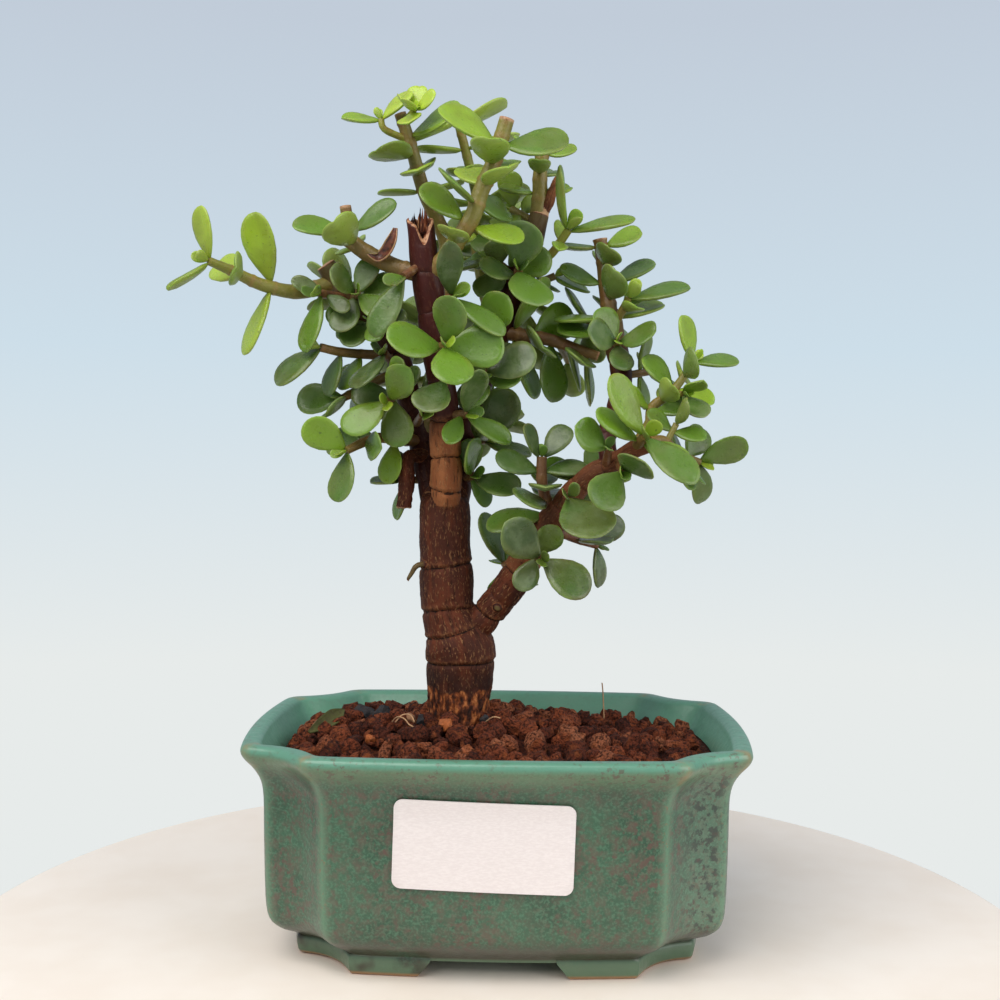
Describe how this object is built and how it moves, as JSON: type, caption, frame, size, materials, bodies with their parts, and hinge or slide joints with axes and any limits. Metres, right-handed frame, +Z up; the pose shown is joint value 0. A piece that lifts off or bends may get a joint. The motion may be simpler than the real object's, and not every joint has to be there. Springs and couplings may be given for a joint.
{
  "type": "potted dwarf jade bonsai",
  "caption": "Dwarf jade bonsai with a scarred leaning trunk and fleshy round leaves in a glazed rectangular pot with red lava grit.",
  "frame": {"origin": "middle of the plant's and pot's box in plan, at the underside of the feet", "axes": "+Z up, +X to the right as seen from the pot's labelled front, -Y towards the viewer of that front"},
  "size_m": [0.1388, 0.0852, 0.2092],
  "materials": {
    "pot_glaze": "satin teal glaze, thin and brown at the edges",
    "mesh_plastic": "moulded",
    "lava_grit": "porous broken grit",
    "label_paper": "smooth blank sticker",
    "bark": "living bark with ring scars",
    "leaf": "fleshy waxy leaf"
  },
  "bodies": {
    "root": {"pot": "pot_glaze", "drain_mesh_left": "mesh_plastic", "drain_mesh_right": "mesh_plastic", "soil": "lava_grit", "label": "label_paper", "trunk_and_branches": "bark", "crown_rear": "leaf", "crown_left": "leaf", "crown_front": "leaf", "shoulder": "leaf", "crown_right": "leaf", "right_whorl": "leaf", "leader_top": "leaf", "leader_outer": "leaf", "leader_front": "leaf", "leader_rear": "leaf", "crossing": "leaf", "far_right_upper": "leaf", "leader_middle": "leaf", "far_right_lower": "leaf", "low_end": "leaf", "low_under": "leaf", "low_over": "leaf", "low_upright": "leaf", "low_front": "leaf", "low_disc": "leaf", "low_rear": "leaf", "low_inner": "leaf", "trunk_leaf": "leaf", "middle_right": "leaf", "middle_rear": "leaf", "front_whorl": "leaf", "front_drop": "leaf", "front_right": "leaf", "front_upper": "leaf", "front_hanging": "leaf", "right_disc": "leaf", "heart_left": "leaf", "heart_right": "leaf", "heart_upper": "leaf", "left_hanging": "leaf", "left_inner": "leaf", "left_drop": "leaf", "far_left": "leaf", "left_middle": "leaf", "left_outer": "leaf", "left_broad": "leaf", "lower_whorl": "leaf", "lower_left": "leaf", "lower_outer": "leaf", "lower_long": "leaf", "lower_stub": "leaf", "rear_lower": "leaf", "rear_upper": "leaf", "rear_left": "leaf", "rear_far_left": "leaf", "rear_low": "leaf"}
  },
  "joints": []
}
